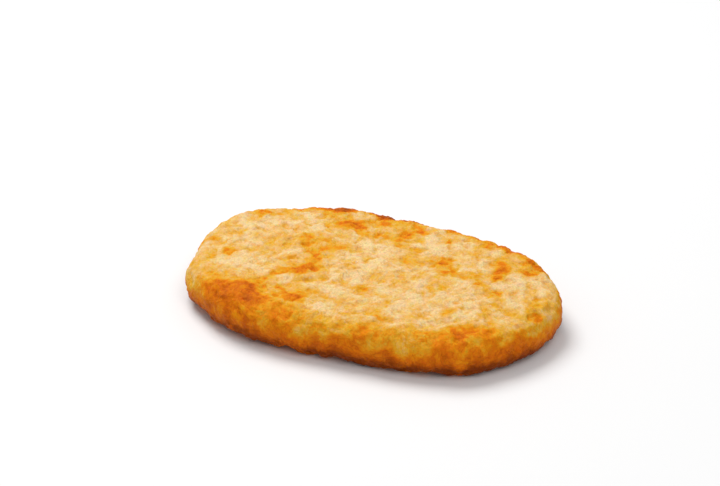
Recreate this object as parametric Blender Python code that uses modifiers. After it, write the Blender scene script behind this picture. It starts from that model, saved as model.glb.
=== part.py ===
"""A fried hash brown: one oval patty of shredded potato, pressed flat and fried to a crust.

It lies flat, its length along X, its width along Y. The origin is on the surface that it
lies on, under the middle of its box. Units are metres, +Z is up. The patty is one piece, so
there is one object. Its crust is relief in the solid: strips of shredded potato that lie
over each other all round, with crevices between them, on a gently uneven pressed form.
"""

import math
import random

import bmesh
import bpy
import numpy as np
from mathutils import Vector, noise

MM = 0.001

# The whole patty
LENGTH = 112.0 * MM
WIDTH = 71.0 * MM
THICKNESS = 13.8 * MM

# The pressed form, before the strips are laid on it
EDGE_RADIUS = 5.8 * MM  # rounding of the rim, over two fifths of the thickness
RIM_STEPS = 8  # segments of the rounded rim, from the wall to the flat
OUTLINE_POWER = 2.55  # 2 is an ellipse, and more is squarer
OUTLINE_POINTS = 96
END_TAPER = -0.03  # the +X end is this share narrower than the middle, the -X end wider
# Waves round the outline: how many to a turn, then their cosine and sine shares
OUTLINE_WAVES = {2: (0.0, 0.007), 4: (0.0, -0.006), 5: (-0.003, 0.005), 6: (0.006, 0.007), 7: (0.007, 0.0)}
DENT_DEPTH = 0.5 * MM  # shallow hollows that the press and the fryer leave
DENT_SPAN = 17.0 * MM
DENT_RIPPLE = (0.45, 0.5)  # a finer ripple in them: its span and its depth, as shares of theirs

# Places where the potato was packed unevenly: a point near the rim, the span, and the height
LUMPS = (
    ((-51 * MM, -20 * MM, 3 * MM), 7 * MM, 0.8 * MM),
    ((-55 * MM, -11 * MM, 9 * MM), 8 * MM, -1.7 * MM),
    ((56 * MM, 3 * MM, 4 * MM), 8 * MM, 0.6 * MM),
    ((-40 * MM, 29 * MM, 12 * MM), 6 * MM, -0.7 * MM),
    ((-22 * MM, 35 * MM, 11 * MM), 9 * MM, 0.6 * MM),
    ((8 * MM, -35 * MM, 5 * MM), 12 * MM, 0.5 * MM),
    ((47 * MM, -22 * MM, 14 * MM), 11 * MM, -1.3 * MM),
    ((55 * MM, -3 * MM, 14 * MM), 10 * MM, -1.2 * MM),
)

# The strips of potato in the crust
STRIP_SEED = 4217
STRIP_COUNT = 640
STRIP_SPACING = 3.6 * MM  # least distance between the middles of two strips
STRIP_LENGTH = (6.0 * MM, 16.0 * MM)
STRIP_WIDTH = (2.4 * MM, 3.8 * MM)
STRIP_HEIGHT = 0.85 * MM  # how far the thickest strip stands out of the crevices
WALL_SHARE = 0.4  # share of that height on the wall, where the press has smoothed it
STRIP_BEND = 9.0  # most sideways curve of a strip, per metre
STRIP_LIFT = 0.45  # share of a strip's height that comes from what lies under it
CRUMB_DEPTH = 0.16 * MM  # rough fried skin over everything
CRUMB_SPAN = 3.4 * MM
CRUMB_RIPPLE = (0.5, 0.6)  # a finer ripple in it, in the same way

# The underside, which has settled under the patty's own weight
SETTLED_DEPTH = 0.5 * MM  # what the lowest strips have been flattened by
REST_SPAN = 9.0 * MM  # size of the flat spot under the middle

# The solid's mesh
FINE_STEP = 0.7 * MM
SOFTEN_STEPS = 2
MOST_TRIANGLES = 11000
FOLD_LIMIT = -0.5  # cosine between two neighbouring faces below which they are eased apart
FOLD_ROUNDS = 20

CRUST_COLOUR = (0.78, 0.42, 0.11, 1.0)
CRUST_ROUGHNESS = 0.62


def clear_scene():
    for thing in list(bpy.data.objects):
        bpy.data.objects.remove(thing)


def new_collection(name):
    collection = bpy.data.collections.new(name)
    bpy.context.scene.collection.children.link(collection)
    return collection


def crust_material():
    material = bpy.data.materials.new("fried_crust")
    material.use_nodes = True
    shader = material.node_tree.nodes["Principled BSDF"]
    shader.inputs["Base Color"].default_value = CRUST_COLOUR
    shader.inputs["Roughness"].default_value = CRUST_ROUGHNESS
    shader.inputs["Metallic"].default_value = 0.0
    return material


def outline_point(angle):
    """A point of the pressed form's widest outline: a squarish oval, one end fuller than the other."""
    half_length = LENGTH / 2 - STRIP_HEIGHT
    half_width = WIDTH / 2 - STRIP_HEIGHT
    along, across = math.cos(angle), math.sin(angle)
    swell = 1.0
    for order, (cosine, sine) in OUTLINE_WAVES.items():
        swell += cosine * math.cos(order * angle) + sine * math.sin(order * angle)
    x = math.copysign(abs(along) ** (2 / OUTLINE_POWER), along) * half_length * swell
    y = math.copysign(abs(across) ** (2 / OUTLINE_POWER), across) * half_width * swell
    return x, y * (1 + END_TAPER * x / half_length)


def pressed_form(collection):
    """The smooth patty: its outline as a flat curve, thickened, with a rounded rim."""
    curve = bpy.data.curves.new("pressed_form", "CURVE")
    curve.dimensions = "2D"
    curve.fill_mode = "BOTH"
    curve.extrude = THICKNESS / 2 - STRIP_HEIGHT - EDGE_RADIUS
    curve.bevel_depth = EDGE_RADIUS
    curve.bevel_resolution = RIM_STEPS
    curve.offset = -EDGE_RADIUS
    spline = curve.splines.new("POLY")
    spline.points.add(OUTLINE_POINTS - 1)
    spline.use_cyclic_u = True
    for i, point in enumerate(spline.points):
        x, y = outline_point(2 * math.pi * i / OUTLINE_POINTS)
        point.co = (x, y, 0, 1)
    form = bpy.data.objects.new("pressed_form", curve)
    form.location.z = THICKNESS / 2
    collection.objects.link(form)
    return form


def evaluated_mesh(thing):
    """A thing's shape with its modifiers, as a mesh in the scene's coordinates."""
    bpy.context.view_layer.update()
    graph = bpy.context.evaluated_depsgraph_get()
    mesh = bpy.data.meshes.new_from_object(thing.evaluated_get(graph))
    mesh.transform(thing.matrix_world)
    return mesh


def apply_modifiers(thing):
    thing.data = evaluated_mesh(thing)
    thing.modifiers.clear()


def soften(thing, steps):
    smooth = thing.modifiers.new("soften", "SMOOTH")
    smooth.factor = 0.5
    smooth.iterations = steps


def even_patty(form, collection):
    """The pressed form as one closed mesh of small even faces, fine enough to carry the strips."""
    mesh = evaluated_mesh(form)
    bpy.data.objects.remove(form)
    work = bmesh.new()
    work.from_mesh(mesh)
    bmesh.ops.remove_doubles(work, verts=work.verts, dist=0.01 * MM)
    work.to_mesh(mesh)
    work.free()
    patty = bpy.data.objects.new("hash_brown", mesh)
    collection.objects.link(patty)
    remesh = patty.modifiers.new("even_faces", "REMESH")
    remesh.mode = "VOXEL"
    remesh.voxel_size = FINE_STEP
    soften(patty, SOFTEN_STEPS)
    apply_modifiers(patty)
    return patty


def vertex_values(mesh, vectors, name):
    """One vector of each vertex, as the rows of an array."""
    values = np.empty(len(mesh.vertices) * 3)
    vectors.foreach_get(name, values)
    return values.reshape(-1, 3)


def place_vertices(mesh, points):
    mesh.vertices.foreach_set("co", points.ravel())
    mesh.update()


def dent(point):
    """How far the press left this place out or in."""
    span, depth = DENT_RIPPLE
    swell = noise.noise(point / DENT_SPAN)
    ripple = noise.noise(point / (DENT_SPAN * span) + Vector((7, 3, 1)))
    return DENT_DEPTH * (swell + depth * ripple)


def crumb(point):
    """The rough skin that the hot oil leaves."""
    span, depth = CRUMB_RIPPLE
    coarse = noise.noise(point / CRUMB_SPAN)
    fine = noise.noise(point / (CRUMB_SPAN * span) + Vector((2, 5, 8)))
    return CRUMB_DEPTH * (coarse + depth * fine)


def lump_relief(points):
    """Height of the lumps and hollows at each point, each one fading out round its middle."""
    relief = np.zeros(len(points))
    for middle, span, height in LUMPS:
        distance = np.linalg.norm(points - np.array(middle), axis=1)
        relief += height * np.exp(-((distance / span) ** 2))
    return relief


def strip_places(points, chance):
    """Places for the strips' middles, spread at least STRIP_SPACING apart over the whole surface."""
    order = list(range(len(points)))
    chance.shuffle(order)
    chosen = np.empty((0, 3))
    kept = []
    for index in order:
        gap = np.linalg.norm(chosen - points[index], axis=1)
        if len(gap) and gap.min() < STRIP_SPACING:
            continue
        chosen = np.vstack([chosen, points[index]])
        kept.append(index)
        if len(kept) == STRIP_COUNT:
            break
    return kept


def strip_relief(points, normals):
    """Height of the crust at each point: the highest of the rounded strips that cross it."""
    chance = random.Random(STRIP_SEED)
    relief = np.zeros(len(points))
    for index in strip_places(points, chance):
        middle, normal = points[index], normals[index]
        heading = Vector([chance.uniform(-1, 1) for _ in range(3)]).cross(Vector(normal))
        heading = np.array(heading.normalized())
        sideways = np.cross(normal, heading)
        reach = chance.uniform(*STRIP_LENGTH) / 2
        half_width = chance.uniform(*STRIP_WIDTH) / 2
        bend = chance.uniform(-STRIP_BEND, STRIP_BEND)
        lift = chance.random() * STRIP_LIFT
        offset = points - middle
        run = np.clip(offset @ heading, half_width - reach, reach - half_width)
        offset = offset - np.outer(run, heading) - np.outer(bend * run**2, sideways)
        share = np.linalg.norm(offset, axis=1) / half_width
        rounded = np.sqrt(np.clip(1 - share**2, 0, 1))
        height = np.where(share < 1, lift + (1 - lift) * rounded, 0)
        relief = np.maximum(relief, height)
    return relief * STRIP_HEIGHT


def lay_strips(patty):
    """Pushes the even surface out along its normals by the dents, the lumps, the strips and the skin."""
    mesh = patty.data
    points = vertex_values(mesh, mesh.vertices, "co")
    normals = vertex_values(mesh, mesh.vertex_normals, "vector")
    skin = np.array([dent(Vector(p)) + crumb(Vector(p)) for p in points])
    pressed = WALL_SHARE + (1 - WALL_SHARE) * np.abs(normals[:, 2])
    height = skin + lump_relief(points) + strip_relief(points, normals) * pressed
    place_vertices(mesh, points + normals * height[:, None])


def simplify(patty):
    """Slightly blunter strips and fewer faces, kept where the relief needs them."""
    triangles = sum(len(face.vertices) - 2 for face in patty.data.polygons)
    soften(patty, SOFTEN_STEPS)
    decimate = patty.modifiers.new("fewer_faces", "DECIMATE")
    decimate.ratio = MOST_TRIANGLES / triangles
    decimate.use_collapse_triangulate = True
    apply_modifiers(patty)


def ease_folds(patty):
    """Smooths the few places where neighbouring faces fold back on each other; heights are kept."""
    work = bmesh.new()
    work.from_mesh(patty.data)
    for _ in range(FOLD_ROUNDS):
        work.normal_update()
        corners = set()
        for edge in work.edges:
            first, second = edge.link_faces
            if first.normal.dot(second.normal) < FOLD_LIMIT:
                corners.update(first.verts[:] + second.verts[:])
        if not corners:
            break
        corners = sorted(corners, key=lambda vertex: vertex.index)
        bmesh.ops.smooth_vert(work, verts=corners, factor=0.5, use_axis_x=True, use_axis_y=True)
    work.to_mesh(patty.data)
    work.free()


def settle(patty):
    """Brings the patty to its stated size, with its underside flattened where it lies."""
    mesh = patty.data
    points = vertex_values(mesh, mesh.vertices, "co")
    low, high = points.min(axis=0), points.max(axis=0)
    middle = (low + high) / 2
    floor = low[2] + SETTLED_DEPTH
    points -= (middle[0], middle[1], floor)
    points *= np.array([LENGTH, WIDTH, THICKNESS]) / (high[0] - low[0], high[1] - low[1], high[2] - floor)
    underside = points[:, 2] < EDGE_RADIUS
    under_middle = np.hypot(points[:, 0], points[:, 1]) < REST_SPAN / 2
    points[(points[:, 2] < 0) | (underside & under_middle), 2] = 0
    place_vertices(mesh, points)


def main():
    clear_scene()
    collection = new_collection("hash_brown")
    patty = even_patty(pressed_form(collection), collection)
    lay_strips(patty)
    simplify(patty)
    settle(patty)
    ease_folds(patty)
    patty.data.materials.append(crust_material())
    patty.data.shade_smooth()


main()
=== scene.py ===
import math
import random

import bmesh
import bpy
import numpy as np
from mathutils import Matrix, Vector, kdtree, noise


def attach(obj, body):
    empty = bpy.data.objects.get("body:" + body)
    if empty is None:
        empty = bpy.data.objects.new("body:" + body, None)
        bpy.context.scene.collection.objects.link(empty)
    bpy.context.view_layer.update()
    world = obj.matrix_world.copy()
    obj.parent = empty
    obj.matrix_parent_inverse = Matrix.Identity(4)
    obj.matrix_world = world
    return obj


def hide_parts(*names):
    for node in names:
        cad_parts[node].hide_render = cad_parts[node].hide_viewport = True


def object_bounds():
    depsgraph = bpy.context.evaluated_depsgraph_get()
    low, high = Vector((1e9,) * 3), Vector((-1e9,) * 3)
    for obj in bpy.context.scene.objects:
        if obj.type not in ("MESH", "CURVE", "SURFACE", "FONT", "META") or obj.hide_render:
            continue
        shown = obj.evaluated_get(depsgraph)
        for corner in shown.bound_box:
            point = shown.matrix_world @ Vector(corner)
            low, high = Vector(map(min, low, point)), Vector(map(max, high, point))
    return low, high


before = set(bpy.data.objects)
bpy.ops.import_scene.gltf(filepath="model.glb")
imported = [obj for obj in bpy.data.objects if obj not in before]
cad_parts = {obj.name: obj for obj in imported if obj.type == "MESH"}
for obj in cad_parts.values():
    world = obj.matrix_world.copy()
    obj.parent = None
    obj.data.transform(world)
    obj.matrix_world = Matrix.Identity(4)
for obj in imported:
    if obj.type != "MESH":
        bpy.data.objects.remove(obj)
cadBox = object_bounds()
mm = 0.001
print("frame loaded:", sorted(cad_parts))


def newObject(name, data):
    thing = bpy.data.objects.new(name, data)
    bpy.context.scene.collection.objects.link(thing)
    return thing


def applyModifiers(thing):
    bpy.context.view_layer.update()
    graph = bpy.context.evaluated_depsgraph_get()
    thing.data = bpy.data.meshes.new_from_object(thing.evaluated_get(graph))
    thing.modifiers.clear()


def readVectors(mesh, vectors, name):
    values = np.empty(len(mesh.vertices) * 3)
    vectors.foreach_get(name, values)
    return values.reshape(-1, 3)


def writeAttribute(mesh, name, values):
    attribute = mesh.attributes.new(name, "FLOAT", "POINT")
    attribute.data.foreach_set("value", values.astype(np.float32))


def noiseAt(points, span, layer):
    # one value from -1 to 1 for each point; each layer is another pattern
    shift = Vector((layer * 3.7, layer * 1.9, layer * 5.3))
    return np.array([noise.noise(Vector(point) / span + shift) for point in points])


def smoothStep(values, low, high):
    share = np.clip((values - low) / (high - low), 0, 1)
    return share * share * (3 - 2 * share)


def treeOf(points):
    tree = kdtree.KDTree(len(points))
    for i, point in enumerate(points):
        tree.insert(point, i)
    tree.balance()
    return tree


def frameOn(normal, chance):
    heading = Vector([chance.uniform(-1, 1) for _ in range(3)]).cross(Vector(normal))
    heading = np.array(heading.normalized())
    return heading, np.cross(normal, heading)


crustValues = {
    "faceStep": 0.42 * mm,
    "mostTriangles": 196000,
    "lowestTurn": -0.5,    # faces that look down more than this are merged first, by this weight
    "mergeWeight": 1000,
    "foldAngle": 1.6,      # faces that meet at more than this, in radians, are smoothed
    "foldRounds": 20,
    "evenSteps": 12,       # rounds of smoothing after the remesh
    "seed": 731,
    "pitDepth": 0.16 * mm,
    "pitSpan": 2.1 * mm,
    "grainDepth": 0.10 * mm,
    "grainSpan": 0.95 * mm,
    "hollowRounds": 60,    # smoothing that tells hollows from ridges
    "hollowReach": (-0.1 * mm, 0.35 * mm),
    "wallShare": 0.45,     # how deep the relief is on the side, as a share of the top's
    "reliefLevel": 0.7,    # the share of a shred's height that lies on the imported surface
}

# shreds of potato, shorter bits on them and fried crumbs over all; squareness is the power of their profile
shredLayers = (
    {"count": 900, "length": (5.0 * mm, 14.0 * mm), "width": (1.7 * mm, 2.9 * mm),
     "height": 0.25 * mm, "bend": 14.0, "lift": 0.5, "squareness": 5, "tone": 0.07, "edge": 0.07},
    {"count": 2600, "length": (1.6 * mm, 5.5 * mm), "width": (0.9 * mm, 1.9 * mm),
     "height": 0.20 * mm, "bend": 30.0, "lift": 0.5, "squareness": 4, "tone": 0.06, "edge": 0.05},
    {"count": 9000, "length": (0.8 * mm, 1.6 * mm), "width": (0.8 * mm, 1.4 * mm),
     "height": 0.17 * mm, "bend": 0.0, "lift": 0.2, "squareness": 2, "tone": 0.04, "edge": 0.0},
)

# browned and pale places that catch the eye: x and y in mm, radius in mm, how much browner
bakeMarks = (
    (-22, 7, 4, 0.14), (-18, -6, 5, 0.16), (-13, -5, 4, 0.12), (-28, -28, 7, 0.36),
    (-12, -25, 6, 0.22), (-20, 23, 6, 0.14), (-8, 28, 9, 0.10), (4, 27, 6, 0.14),
    (24, 18, 6, 0.18), (33.2, 17.5, 2.6, 0.55), (34.5, 13.5, 2.6, 0.75), (35.6, 9.5, 2.4, 0.50),
    (31, 0, 5, 0.16), (6, -3, 4, 0.10), (17, -3, 5, 0.10), (14, 9, 6, 0.16),
    (33, 25, 6, 0.16), (19, 27, 5, 0.12), (40, -18, 4, 0.14),
    (-37, -31, 7, 0.15), (-23, -35, 7, 0.15), (-10, -37, 6, 0.12),
    (-23, -15, 4, 0.08), (1, -19, 4, 0.10), (24, -29, 7, 0.12), (-7, -31, 5, 0.04),
    (30, -26, 5, 0.12), (37, -23, 5, 0.12), (8, -33, 5, 0.04),
    (8, 7, 5, 0.10), (21, 10, 5, 0.12), (28, 9, 4, 0.12),
    (9, 18, 5, -0.16), (14, -9, 5, -0.14), (-12, -16, 4, -0.14), (-18, -18, 4, -0.14),
    (-26, -14, 5, -0.10), (16, -22, 5, -0.16), (21, -13, 5, -0.14), (41.5, -21, 3, -0.22),
    (46, 7, 6, -0.08), (46, -4, 5, -0.06), (37, -7, 5, -0.10), (-5, -6, 5, -0.14),
    (-36, -2, 5, -0.08), (-24, 19, 5, -0.08), (-16, 13, 5, -0.14), (3, -36, 7, -0.13),
    (44, -21, 5, 0.03), (49, -15, 4, 0.06), (-44, -14, 6, -0.14),
)

# how brown the crust is, with painted shade in its hollows, on the lower side, at the foot and along the
# near rim
browningAndShade = {
    "top": 0.16,
    "sideTurn": (0.12, 0.75),     # how far the surface turns from level as it becomes the side
    "rim": 0.34, "rimReach": (0.78, 0.95),    # how much browner the rim is, partly painted shade along the near rim, and where that grows
    "farRim": 0.40, "farReach": (0.86, 1.0),
    "farEdge": 0.92,              # how brown the crisp edge of the far rim is
    "edgeReach": (0.87, 0.93), "edgeDrop": (0.15, 0.5), "edgeMiddle": -9 * mm, "edgeLength": 25 * mm,
    "farPale": 0.45, "farSpan": 3.5 * mm,     # paler patches in that edge
    "wall": 0.36,                 # how much browner the side is than the top
    "lowWallBrowningAndShade": 0.42, "lowDrop": (0.25, 0.75),    # and its lower half than its upper half, partly browner crust and partly painted shade
    "footShade": 0.28, "footDrop": (0.5, 1.0), "footReach": (0.72, 0.9),    # and painted shade on the last of it, above the floor
    "underside": 0.46,
    "evenEdge": 0.65,             # how much fainter pale patches are at the edge
    "broad": 0.24, "broadSpan": 15 * mm,
    "middling": 0.38, "middlingSpan": 5.5 * mm,
    "fine": 0.18, "fineSpan": 2.0 * mm,
    "patch": 0.30, "patchSpan": 6.5 * mm,     # golden patches with ragged edges
    "sidePatch": 0.14, "sidePale": 0.13, "sideSpan": 5.0 * mm,    # patches on the side
    "markWander": 0.35, "wanderSpan": 2.6 * mm,    # how ragged the larger marks are
    "gap": 0.18, "gapMiddle": 0.3,            # painted shade: browner in the hollows between shreds
    "evenBrown": 1.15,            # where it's as brown as this less one, fine variation begins to fade
    "most": 0.76, "pastMost": 0.3,            # past this, browning grows only by this share
    "brownest": 0.97,
}


def mergedCopy(node, name):
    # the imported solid's triangles are loose, so a copy of them is merged
    work = bmesh.new()
    work.from_mesh(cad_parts[node].data)
    bmesh.ops.remove_doubles(work, verts=work.verts, dist=0.001 * mm)
    mesh = bpy.data.meshes.new(name)
    work.to_mesh(mesh)
    work.free()
    return newObject(name, mesh)


def hollowness(mesh, points, normals, rounds):
    # how far each point lies below the smoothed surface round it
    edges = np.empty(len(mesh.edges) * 2, dtype=int)
    mesh.edges.foreach_get("vertices", edges)
    start, end = edges[0::2], edges[1::2]
    count = len(points)
    shares = np.bincount(start, minlength=count) + np.bincount(end, minlength=count)
    smooth = points.copy()
    for _ in range(rounds):
        for axis in range(3):
            values = smooth[:, axis]
            near = np.bincount(start, values[end], count) + np.bincount(end, values[start], count)
            smooth[:, axis] = near / shares
    return ((smooth - points) * normals).sum(axis=1)


def layShreds(points, normals, tree, chance, plan):
    # the highest shred at each point gives its relief from 0 to 1 and how browned it is
    relief, tone = np.zeros(len(points)), np.zeros(len(points))
    for _ in range(plan["count"]):
        index = chance.randrange(len(points))
        middle, normal = points[index], normals[index]
        heading, sideways = frameOn(normal, chance)
        halfWidth = chance.uniform(*plan["width"]) / 2
        reach = max(chance.uniform(*plan["length"]) / 2, halfWidth)
        bend = chance.uniform(-plan["bend"], plan["bend"])
        lift = chance.random() * plan["lift"]
        shade = chance.uniform(-1, 1) * plan["tone"]
        browned = chance.random() ** 2 * plan["edge"]
        near = np.array([hit[1] for hit in tree.find_range(Vector(middle), reach + halfWidth)])
        near = near[normals[near] @ normal > 0.1]
        offset = points[near] - middle
        run = np.clip(offset @ heading, halfWidth - reach, reach - halfWidth)
        offset = offset - np.outer(run, heading) - np.outer(bend * run**2, sideways)
        share = np.linalg.norm(offset, axis=1) / halfWidth
        rounded = np.sqrt(np.clip(1 - share ** plan["squareness"], 0, 1))
        height = lift + (1 - lift) * rounded
        over = (share < 1) & (height > relief[near])
        relief[near[over]] = height[over]
        tone[near[over]] = shade + browned * smoothStep(share[over], 0.6, 1)
    print("shreds laid:", plan["count"])
    return relief, tone


def crustBrowningAndShade(points, normals, tone, hollow):
    low, high = cadBox
    b = browningAndShade
    x, y = points[:, 0], points[:, 1]
    side = smoothStep(1 - np.clip(normals[:, 2], -1, 1), *b["sideTurn"])
    under = smoothStep(-normals[:, 2], 0.5, 0.95)
    drop = 1 - (points[:, 2] - low.z) / (high.z - low.z)
    outward = np.hypot(x / (high.x - 1 * mm), y / (high.y - 1 * mm))
    outward += 0.05 * noiseAt(points, 6 * mm, 9)
    rimShare = smoothStep(outward, *b["rimReach"])
    nearSide = smoothStep(-y / high.y, 0.05, 0.65)
    farSide = smoothStep(y / high.y, 0.2, 0.6)

    # pale and golden patches, which are only golden on the side and along the near rim
    upright = points * np.array([1, 1, 0.4])
    varied = b["broad"] * noiseAt(upright, b["broadSpan"], 1)
    varied += b["middling"] * noiseAt(upright, b["middlingSpan"], 2)
    edge = np.maximum(side, rimShare * nearSide)
    value = b["top"] + varied * np.where(varied < 0, 1 - b["evenEdge"] * edge, 1)
    patches = noiseAt(points, b["patchSpan"], 6) + 0.35 * noiseAt(points, b["patchSpan"] * 0.3, 8)
    value += b["patch"] * smoothStep(patches, 0.05, 0.45) * (1 - edge)
    sidePatches = noiseAt(upright, b["sideSpan"], 11)
    value += b["sidePatch"] * smoothStep(sidePatches, -0.05, 0.35) * side * (1 - under)
    value -= b["sidePale"] * smoothStep(-sidePatches, 0.05, 0.4) * side * (1 - under)

    # golden towards the rim, most so along the near side, partly painted shade there; brown below it,
    # darker on its lower half partly as painted shade
    value += b["rim"] * rimShare * (0.3 + 0.7 * nearSide) * (1 - side)
    value += side * (b["wall"] + b["lowWallBrowningAndShade"] * smoothStep(drop, *b["lowDrop"]))
    # the far rim is browner, most so along its middle
    along = np.exp(-(((x - b["edgeMiddle"]) / b["edgeLength"]) ** 4))
    farShare = smoothStep(outward, *b["farReach"]) * farSide
    value += b["farRim"] * farShare * (0.35 + 0.65 * along) * (1 - side)
    value += (b["underside"] - b["wall"] - b["lowWallBrowningAndShade"]) * under

    # marks on what faces up or sideways
    shown = smoothStep(normals[:, 2], -0.5, 0.0)
    wander = b["markWander"] * noiseAt(points, b["wanderSpan"], 7)
    for markX, markY, radius, amount in bakeMarks:
        distance = np.hypot(x - markX * mm, y - markY * mm) / (radius * mm)
        ragged = distance + wander if radius > 3.5 else distance
        value += amount * np.exp(-ragged**2) * shown
    value = np.where(value < b["most"], value, b["most"] + (value - b["most"]) * b["pastMost"])

    # fine variation and painted shade in the hollows, less where it is brown already
    detail = tone + b["gap"] * (hollow - b["gapMiddle"]) + b["fine"] * noiseAt(points, b["fineSpan"], 3)
    value += detail * np.clip(b["evenBrown"] - value, 0.25, 1)

    # the crisp edge of the far rim, then painted shade at the foot
    crest = smoothStep(outward, *b["edgeReach"]) * (1 - smoothStep(drop, *b["edgeDrop"])) * farSide * along
    crest *= 1 - b["farPale"] * smoothStep(noiseAt(points, b["farSpan"], 12), -0.2, 0.4)
    value += np.maximum(b["farEdge"] - value, 0) * crest
    footShadeShare = np.maximum(1 - under, smoothStep(outward, *b["footReach"]))
    value += b["footShade"] * side * smoothStep(drop, *b["footDrop"]) * footShadeShare
    return np.minimum(value, b["brownest"])


def evenCrust():
    v = crustValues
    crust = mergedCopy("hash_brown", "crust")
    remesh = crust.modifiers.new("even", "REMESH")
    remesh.mode = "VOXEL"
    remesh.voxel_size = v["faceStep"]
    smooth = crust.modifiers.new("smooth", "SMOOTH")
    smooth.factor = 0.5
    smooth.iterations = v["evenSteps"]
    applyModifiers(crust)
    # the underside needs fewer faces
    normals = readVectors(crust.data, crust.data.vertex_normals, "vector")
    group = crust.vertex_groups.new(name="underside")
    group.add(np.nonzero(normals[:, 2] < v["lowestTurn"])[0].tolist(), 1, "REPLACE")
    fewer = crust.modifiers.new("fewer", "DECIMATE")
    fewer.ratio = v["mostTriangles"] / sum(len(face.vertices) - 2 for face in crust.data.polygons)
    fewer.vertex_group = "underside"
    fewer.vertex_group_factor = v["mergeWeight"]
    applyModifiers(crust)
    crust.vertex_groups.clear()
    return crust


def easeFolds(mesh):
    # smooths the few places where faces have folded over each other
    work = bmesh.new()
    work.from_mesh(mesh)
    for _ in range(crustValues["foldRounds"]):
        work.normal_update()
        folded = {vert for edge in work.edges if edge.calc_face_angle(0) > crustValues["foldAngle"]
                  for vert in edge.verts}
        if not folded:
            break
        around = {other for vert in folded for edge in vert.link_edges for other in edge.verts}
        bmesh.ops.smooth_vert(work, verts=sorted(around, key=lambda vert: vert.index), factor=0.5,
                              use_axis_x=True, use_axis_y=True, use_axis_z=True)
    work.to_mesh(mesh)
    work.free()
    print("corners left in folds:", len(folded))


def makeCrust():
    v = crustValues
    crust = evenCrust()
    mesh = crust.data
    points = readVectors(mesh, mesh.vertices, "co")
    normals = readVectors(mesh, mesh.vertex_normals, "vector")
    print("crust vertices:", len(points))
    chance = random.Random(v["seed"])
    tree = treeOf(points)
    height = v["pitDepth"] * noiseAt(points, v["pitSpan"], 4)
    height += v["grainDepth"] * noiseAt(points, v["grainSpan"], 5)
    tone = np.zeros(len(points))
    for plan in shredLayers:
        relief, shade = layShreds(points, normals, tree, chance, plan)
        height += (relief - v["reliefLevel"]) * plan["height"]
        tone += shade
    height *= v["wallShare"] + (1 - v["wallShare"]) * np.abs(normals[:, 2])
    moved = points + normals * height[:, None]
    moved[:, 2] = np.maximum(moved[:, 2], cadBox[0].z)
    hollow = hollowness(mesh, moved, normals, v["hollowRounds"])
    print("deepest hollow in mm:", round(hollow.max() / mm, 2))
    # browning with the painted shade of the hollows, the lower side, the foot and the near rim
    brown = crustBrowningAndShade(points, normals, tone, smoothStep(hollow, *v["hollowReach"]))
    writeAttribute(mesh, "browningAndShade", brown)
    mesh.vertices.foreach_set("co", moved.ravel())
    easeFolds(mesh)
    mesh.shade_smooth()
    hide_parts("hash_brown")
    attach(crust, "root")
    print("crust triangles:", sum(len(face.vertices) - 2 for face in mesh.polygons))
    return crust


crustColours = (
    # browning with its painted shade, then the colour as red, green and blue shares on screen
    (0.00, (0.91, 0.78, 0.56)),
    (0.18, (0.90, 0.73, 0.46)),
    (0.34, (0.89, 0.68, 0.33)),
    (0.50, (0.88, 0.64, 0.15)),
    (0.64, (0.89, 0.545, 0.035)),
    (0.78, (0.83, 0.43, 0.02)),
    (0.88, (0.70, 0.33, 0.01)),
    (1.00, (0.46, 0.18, 0.00)),
)


def linear(colour):
    return tuple(((c + 0.055) / 1.055) ** 2.4 if c > 0.04 else c / 12.92 for c in colour)


def addNode(tree, kind, place, **inputs):
    node = tree.nodes.new(kind)
    node.location = place
    for name, value in inputs.items():
        node.inputs[name.replace("_", " ")].default_value = value
    return node


potatoGrain = {
    # cells or noise waves to a metre, and how far they are pushed about
    "raggedScale": 650, "raggedReach": 1.2 * mm,
    "swirlScale": 110, "swirlReach": 12 * mm,
    "bitScale": 640, "alongStretch": (0.40, 1.0, 0.8), "acrossStretch": (1.0, 0.42, 0.8), "turnScale": 260,
    "smallScale": 1350, "speckScale": 1900, "blotchScale": 420, "tintScale": 380,
    "lineWidth": 0.14,
    # how much of each goes into the browning; the lines and pebbles are painted shade in the crevices
    "bits": 0.20, "lineShade": 0.10, "small": 0.055, "pebbleShade": 0.10, "specks": 0.06, "blotches": 0.4,
    "evenBrown": 1.15,     # this less the browning is how strong all of them are
    # into the hue and the brightness; the specks' brightness is partly the crust's grain, partly painted
    # glints and painted shade
    "tint": 0.06, "speckGrainAndGlint": 0.62, "smallLight": 0.06,
    # into the height of the bump
    "speckHeight": 0.8, "pebbleHeight": -0.6, "lineHeight": -0.1, "bitHeight": 0.2,
    "roughness": 0.28, "roughBlotches": 0.5,
}


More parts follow.
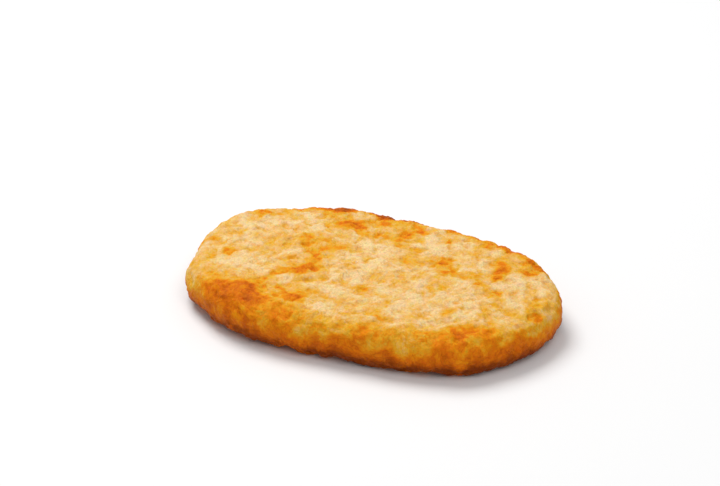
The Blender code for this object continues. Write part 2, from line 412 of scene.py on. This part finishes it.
def friedPotatoGroup():
    # colour, roughness and height of fried potato from how brown it is at each point, with painted shade in
    # its crevices and painted glints in its specks
    g = potatoGrain
    group = bpy.data.node_groups.new("friedPotato", "ShaderNodeTree")
    for name, kind in (("Vector", "Vector"), ("BrowningAndShade", "Float"), ("Speckle", "Float")):
        group.interface.new_socket(name, in_out="INPUT", socket_type="NodeSocket" + kind)
    for name, kind in (("Color", "Color"), ("Roughness", "Float"), ("Height", "Float")):
        group.interface.new_socket(name, in_out="OUTPUT", socket_type="NodeSocket" + kind)
    nodes, link = group.nodes, group.links.new
    inside = addNode(group, "NodeGroupInput", (-1900, 0))
    outside = addNode(group, "NodeGroupOutput", (700, 0))

    def setOrLink(node, values):
        for socket, value in zip(node.inputs, values):
            if isinstance(value, (int, float, tuple)):
                socket.default_value = value
            else:
                link(value, socket)
        return node.outputs[0]

    def maths(operation, first, second, place):
        node = addNode(group, "ShaderNodeMath", place)
        node.operation = operation
        return setOrLink(node, (first, second))

    def vectorMaths(operation, values, place):
        node = addNode(group, "ShaderNodeVectorMath", place)
        node.operation = operation
        return setOrLink(node, values)

    def weighted(value, middle, weight, place):
        centred = maths("SUBTRACT", value, middle, place)
        return maths("MULTIPLY", centred, weight, (place[0] + 150, place[1]))

    def sumOf(values, place):
        total = values[0]
        for i, value in enumerate(values[1:]):
            total = maths("ADD", total, value, (place[0] + 130 * i, place[1]))
        return total

    def noiseNode(scale, detail, place, output="Fac", roughness=0.6):
        node = addNode(group, "ShaderNodeTexNoise", place, Scale=scale, Detail=detail, Roughness=roughness)
        link(inside.outputs["Vector"], node.inputs["Vector"])
        return node.outputs[output]

    def cellsNode(feature, scale, place, vector):
        node = addNode(group, "ShaderNodeTexVoronoi", place, Scale=scale, Randomness=1.0)
        node.feature = feature
        link(vector, node.inputs["Vector"])
        return node

    def firstOf(colour, place):
        node = addNode(group, "ShaderNodeSeparateColor", place)
        link(colour, node.inputs["Color"])
        return node.outputs["Red"]

    # ragged coordinates, so that no cell has straight sides
    ragged = noiseNode(g["raggedScale"], 3, (-1700, 0), "Color")
    pushed = (ragged, (g["raggedReach"],) * 3, inside.outputs["Vector"])
    vector = vectorMaths("MULTIPLY_ADD", pushed, (-1500, 0))

    # potato bits are long cells, bent by a broad swirl, and lie one way or the other
    swirl = noiseNode(g["swirlScale"], 1, (-1700, 700), "Color", 0.4)
    swirled = vectorMaths("MULTIPLY_ADD", (swirl, (g["swirlReach"],) * 3, vector), (-1500, 700))

    def bitCells(stretch, place):
        stretched = vectorMaths("MULTIPLY", (swirled, stretch), place)
        cells = cellsNode("F1", g["bitScale"], (place[0] + 200, place[1]), stretched)
        borders = cellsNode("DISTANCE_TO_EDGE", g["bitScale"], (place[0] + 200, place[1] - 300), stretched)
        return firstOf(cells.outputs["Color"], (place[0] + 400, place[1])), borders.outputs["Distance"]

    def either(mask, first, second, place):
        node = addNode(group, "ShaderNodeMix", place)
        link(mask, node.inputs["Factor"])
        link(first, node.inputs["A"])
        link(second, node.inputs["B"])
        return node.outputs["Result"]

    bitsAlong, bordersAlong = bitCells(g["alongStretch"], (-1500, 1700))
    bitsAcross, bordersAcross = bitCells(g["acrossStretch"], (-1500, 1100))
    chosen = maths("GREATER_THAN", noiseNode(g["turnScale"], 1, (-1300, 2000)), 0.5, (-1100, 2000))
    bits = either(chosen, bitsAlong, bitsAcross, (-900, 1500))
    borders = either(chosen, bordersAlong, bordersAcross, (-900, 1300))
    lineNode = addNode(group, "ShaderNodeMapRange", (-700, 1300),
                       From_Min=0.0, From_Max=g["lineWidth"], To_Min=1.0, To_Max=0.0)
    lineNode.interpolation_type = "SMOOTHSTEP"
    link(borders, lineNode.inputs["Value"])
    line = lineNode.outputs["Result"]
    smallCells = cellsNode("F1", g["smallScale"], (-1300, 0), vector)
    small, pebble = firstOf(smallCells.outputs["Color"], (-1100, 0)), smallCells.outputs["Distance"]
    specks = noiseNode(g["speckScale"], 3, (-900, 250))
    blotches = noiseNode(g["blotchScale"], 4, (-900, 50))
    tint = noiseNode(g["tintScale"], 3, (-900, 500))

    # each varies the browning, the lines and pebbles as painted shade in the crevices, less where it is
    # brown already
    mixed = sumOf((weighted(bits, 0.5, g["bits"], (-900, 900)),
                   weighted(line, 0.25, g["lineShade"], (-900, 750)),
                   weighted(small, 0.5, g["small"], (-900, 600)),
                   weighted(pebble, 0.45, g["pebbleShade"], (-900, 450)),
                   weighted(specks, 0.5, g["specks"], (-900, 300))), (-550, 800))
    paler = maths("SUBTRACT", g["evenBrown"], inside.outputs["BrowningAndShade"], (-700, 150))
    strength = maths("MULTIPLY", inside.outputs["Speckle"], paler, (-500, 150))
    fineShift = maths("MULTIPLY", mixed, strength, (-300, 150))
    blotchShift = maths("MULTIPLY", weighted(blotches, 0.5, g["blotches"], (-700, 50)), paler, (-400, 50))
    total = sumOf((inside.outputs["BrowningAndShade"], fineShift, blotchShift), (-150, 200))
    ramp = addNode(group, "ShaderNodeValToRGB", (150, 250))
    stops = ramp.color_ramp.elements
    while len(stops) < len(crustColours):
        stops.new(0.5)
    for stop, (place, colour) in zip(stops, crustColours):
        stop.position = place
        stop.color = (*linear(colour), 1)
    link(total, ramp.inputs["Fac"])

    hue = addNode(group, "ShaderNodeHueSaturation", (450, 250))
    hueShift = maths("MULTIPLY", weighted(tint, 0.5, g["tint"], (0, 600)), paler, (250, 600))
    link(maths("ADD", hueShift, 0.5, (350, 600)), hue.inputs["Hue"])
    link(ramp.outputs["Color"], hue.inputs["Color"])
    # specks and small cells lighten and darken the colour, the specks partly as painted glints and painted
    # shade
    grainAndGlint = sumOf((weighted(specks, 0.5, g["speckGrainAndGlint"], (0, 900)),
                   weighted(small, 0.5, g["smallLight"], (0, 1050))), (250, 950))
    grainAndGlint = maths("MULTIPLY", grainAndGlint, paler, (350, 900))
    link(maths("ADD", grainAndGlint, 1.0, (400, 800)), hue.inputs["Value"])
    link(hue.outputs["Color"], outside.inputs["Color"])
    rough = maths("MULTIPLY", blotches, g["roughBlotches"], (100, -100))
    link(maths("ADD", rough, g["roughness"], (300, -100)), outside.inputs["Roughness"])
    height = sumOf((weighted(specks, 0.5, g["speckHeight"], (-100, -300)),
                    weighted(pebble, 0.4, g["pebbleHeight"], (-100, -450)),
                    weighted(line, 0, g["lineHeight"], (-100, -600)),
                    weighted(bits, 0.5, g["bitHeight"], (-100, -750))), (200, -350))
    link(height, outside.inputs["Height"])
    return group


crustFinish = {
    "speckle": 1.0,        # how strongly the fine cells vary the browning
    "bumpDepth": 0.26 * mm,
    "specular": 0.06,
    "subsurface": 0.45, "subsurfaceRadius": (1.0, 0.5, 0.2), "subsurfaceScale": 0.6 * mm,
}


def friedMaterial(name, group, finish):
    material = bpy.data.materials.new(name)
    material.use_nodes = True
    tree = material.node_tree
    shader = tree.nodes["Principled BSDF"]
    place = addNode(tree, "ShaderNodeTexCoord", (-900, 0))
    # the browning with its painted shade
    brown = addNode(tree, "ShaderNodeAttribute", (-900, -250))
    brown.attribute_name = "browningAndShade"
    potato = addNode(tree, "ShaderNodeGroup", (-600, 0))
    potato.node_tree = group
    potato.inputs["Speckle"].default_value = finish["speckle"]
    bump = addNode(tree, "ShaderNodeBump", (-300, -250), Distance=finish["bumpDepth"], Strength=1.0)
    link = tree.links.new
    link(place.outputs["Object"], potato.inputs["Vector"])
    link(brown.outputs["Fac"], potato.inputs["BrowningAndShade"])
    link(potato.outputs["Color"], shader.inputs["Base Color"])
    link(potato.outputs["Roughness"], shader.inputs["Roughness"])
    link(potato.outputs["Height"], bump.inputs["Height"])
    link(bump.outputs["Normal"], shader.inputs["Normal"])
    shader.inputs["Specular IOR Level"].default_value = finish["specular"]
    shader.inputs["Subsurface Weight"].default_value = finish["subsurface"]
    shader.inputs["Subsurface Radius"].default_value = finish["subsurfaceRadius"]
    shader.inputs["Subsurface Scale"].default_value = finish["subsurfaceScale"]
    return material


stageValues = {
    "floorSize": 4.0,
    "floorColour": (0.86, 0.86, 0.86, 1),
    "floorRoughness": 0.9,
    "worldStrength": 0.42,
}

# each lamp looks at the middle of the patty's foot
softLights = {
    "keyLight": {"place": (-0.50, 0.26, 0.98), "size": 0.7, "power": 9.2},
    "fillLight": {"place": (0.52, -0.55, 1.00), "size": 0.9, "power": 4.3},
}

cameraValues = {
    "azimuth": 25.6, "elevation": 29.7,
    "lens": 100.0, "sensor": 36.0,
    "distance": 0.578,
    "imageSize": (720, 486),
    "originPixel": (371.3, 307.6),   # where the middle of the patty's foot is seen
}


def makeStage():
    work = bmesh.new()
    bmesh.ops.create_grid(work, x_segments=1, y_segments=1, size=stageValues["floorSize"] / 2)
    mesh = bpy.data.meshes.new("floor")
    work.to_mesh(mesh)
    work.free()
    floor = newObject("floor", mesh)
    material = bpy.data.materials.new("floorWhite")
    material.use_nodes = True
    shader = material.node_tree.nodes["Principled BSDF"]
    shader.inputs["Base Color"].default_value = stageValues["floorColour"]
    shader.inputs["Roughness"].default_value = stageValues["floorRoughness"]
    mesh.materials.append(material)
    world = bpy.data.worlds.new("studio")
    bpy.context.scene.world = world
    world.use_nodes = True
    background = world.node_tree.nodes["Background"]
    background.inputs["Strength"].default_value = stageValues["worldStrength"]
    background.inputs["Color"].default_value = (1, 1, 1, 1)


def makeLights():
    for name, values in softLights.items():
        lamp = bpy.data.lights.new(name, "AREA")
        lamp.shape = "DISK"
        lamp.size = values["size"]
        lamp.energy = values["power"]
        thing = newObject(name, lamp)
        thing.location = values["place"]
        thing.rotation_euler = (-Vector(values["place"])).to_track_quat("-Z", "Y").to_euler()


def makeCamera():
    v = cameraValues
    azimuth, elevation = math.radians(v["azimuth"]), math.radians(v["elevation"])
    back = Vector((math.sin(azimuth) * math.cos(elevation),
                   -math.cos(azimuth) * math.cos(elevation), math.sin(elevation)))
    camera = bpy.data.cameras.new("camera")
    camera.lens = v["lens"]
    camera.sensor_width = v["sensor"]
    camera.clip_start, camera.clip_end = 0.01, 20
    wide, tall = v["imageSize"]
    camera.shift_x = (wide / 2 - v["originPixel"][0]) / wide
    camera.shift_y = (v["originPixel"][1] - tall / 2) / wide
    thing = newObject("camera", camera)
    thing.location = back * v["distance"]
    thing.rotation_mode = "QUATERNION"
    thing.rotation_quaternion = (-back).to_track_quat("-Z", "Y")
    bpy.context.scene.camera = thing


bpy.context.scene.view_settings.view_transform = "Standard"
makeStage()
makeLights()
makeCamera()
print("floor, lights and camera placed")
crust = makeCrust()
potatoGroup = friedPotatoGroup()
crust.data.materials.clear()
crust.data.materials.append(friedMaterial("friedCrust", potatoGroup, crustFinish))
print("crust finished")

print("scene done")
